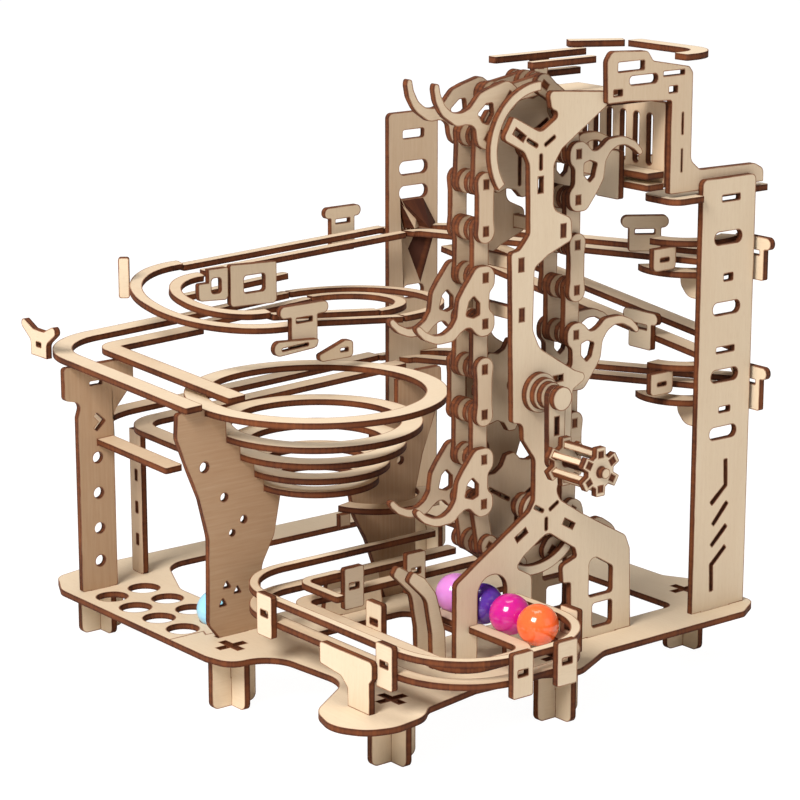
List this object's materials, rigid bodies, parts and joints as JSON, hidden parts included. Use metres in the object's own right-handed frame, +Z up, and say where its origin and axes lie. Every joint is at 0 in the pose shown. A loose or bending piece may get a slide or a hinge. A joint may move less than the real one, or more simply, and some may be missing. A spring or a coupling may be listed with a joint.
{
  "type": "marble run",
  "caption": "Laser-cut plywood marble run with a hand-cranked bucket chain, two towers, a double loop and a ring funnel.",
  "frame": {"origin": "bottom centre of the bounding box, on the table under the feet", "axes": "+Z up; +X along the face of the lift from the funnel towards the towers; -Y the side with the crank handle"},
  "size_m": [0.2262, 0.2636, 0.2536],
  "materials": {
    "plywood": "matte",
    "marble_orange": "gloss",
    "marble_magenta": "gloss",
    "marble_purple": "gloss",
    "marble_pink": "gloss",
    "marble_blue": "gloss"
  },
  "bodies": {
    "frame": {"axle_bearings": "plywood", "back_tower": "plywood", "base_back": "plywood", "base_front": "plywood", "bridge_braces": "plywood", "bridge_floor_rails": "plywood", "bridge_grille": "plywood", "bridge_panels": "plywood", "bridge_top_rails": "plywood", "chain_guides": "plywood", "chain_inner_links": "plywood", "chain_outer_links": "plywood", "chain_pins": "plywood", "chain_spacers": "plywood", "feet_across": "plywood", "feet_along": "plywood", "front_clips": "plywood", "front_guards": "plywood", "front_track": "plywood", "funnel_exit": "plywood", "funnel_ring_1": "plywood", "funnel_ring_2": "plywood", "funnel_ring_3": "plywood", "funnel_ring_4": "plywood", "funnel_ring_5": "plywood", "funnel_supports": "plywood", "lane_supports": "plywood", "left_column": "plywood", "left_track": "plywood", "lift_front": "plywood", "lift_hooks": "plywood", "lift_rear": "plywood", "lift_ties": "plywood", "loop_links": "plywood", "loop_lower": "plywood", "loop_upper": "plywood", "lower_track": "plywood", "marble_blue": "marble_blue", "marble_magenta": "marble_magenta", "marble_orange": "marble_orange", "marble_pink": "marble_pink", "marble_purple": "marble_purple", "pickup_fork": "plywood", "right_tower": "plywood", "small_column": "plywood", "switch_lower": "plywood", "switch_middle": "plywood", "switch_upper": "plywood", "tower_crescents": "plywood", "track_clips": "plywood", "track_guards": "plywood"},
    "crank": {"crank_shaft": "plywood", "crank_arm": "plywood", "drive_sprocket": "plywood"},
    "handle": {"handle_stars": "plywood", "handle_grips": "plywood"},
    "top_wheel": {"top_axle": "plywood", "top_sprocket": "plywood"},
    "bottom_wheel": {"bottom_axle": "plywood", "bottom_sprocket": "plywood"}
  },
  "joints": [
    {"name": "crank_turn", "type": "hinge", "parent": "frame", "child": "crank", "pos_m": [-0.00541, -0.07925, 0.1275], "axis": [0, -1, 0], "continuous": true},
    {"name": "handle_spin", "type": "hinge", "parent": "crank", "child": "handle", "pos_m": [-0.00541, -0.09925, 0.104], "axis": [0, -1, 0], "continuous": true},
    {"name": "top_wheel_turn", "type": "hinge", "parent": "frame", "child": "top_wheel", "pos_m": [-0.00291, -0.05925, 0.2195], "axis": [0, -1, 0], "continuous": true},
    {"name": "bottom_wheel_turn", "type": "hinge", "parent": "frame", "child": "bottom_wheel", "pos_m": [-0.00291, -0.05925, 0.0803], "axis": [0, -1, 0], "continuous": true}
  ],
  "couplings": [
    {"joint": "top_wheel_turn", "follows": "crank_turn", "ratio": 1},
    {"joint": "bottom_wheel_turn", "follows": "crank_turn", "ratio": 1}
  ]
}
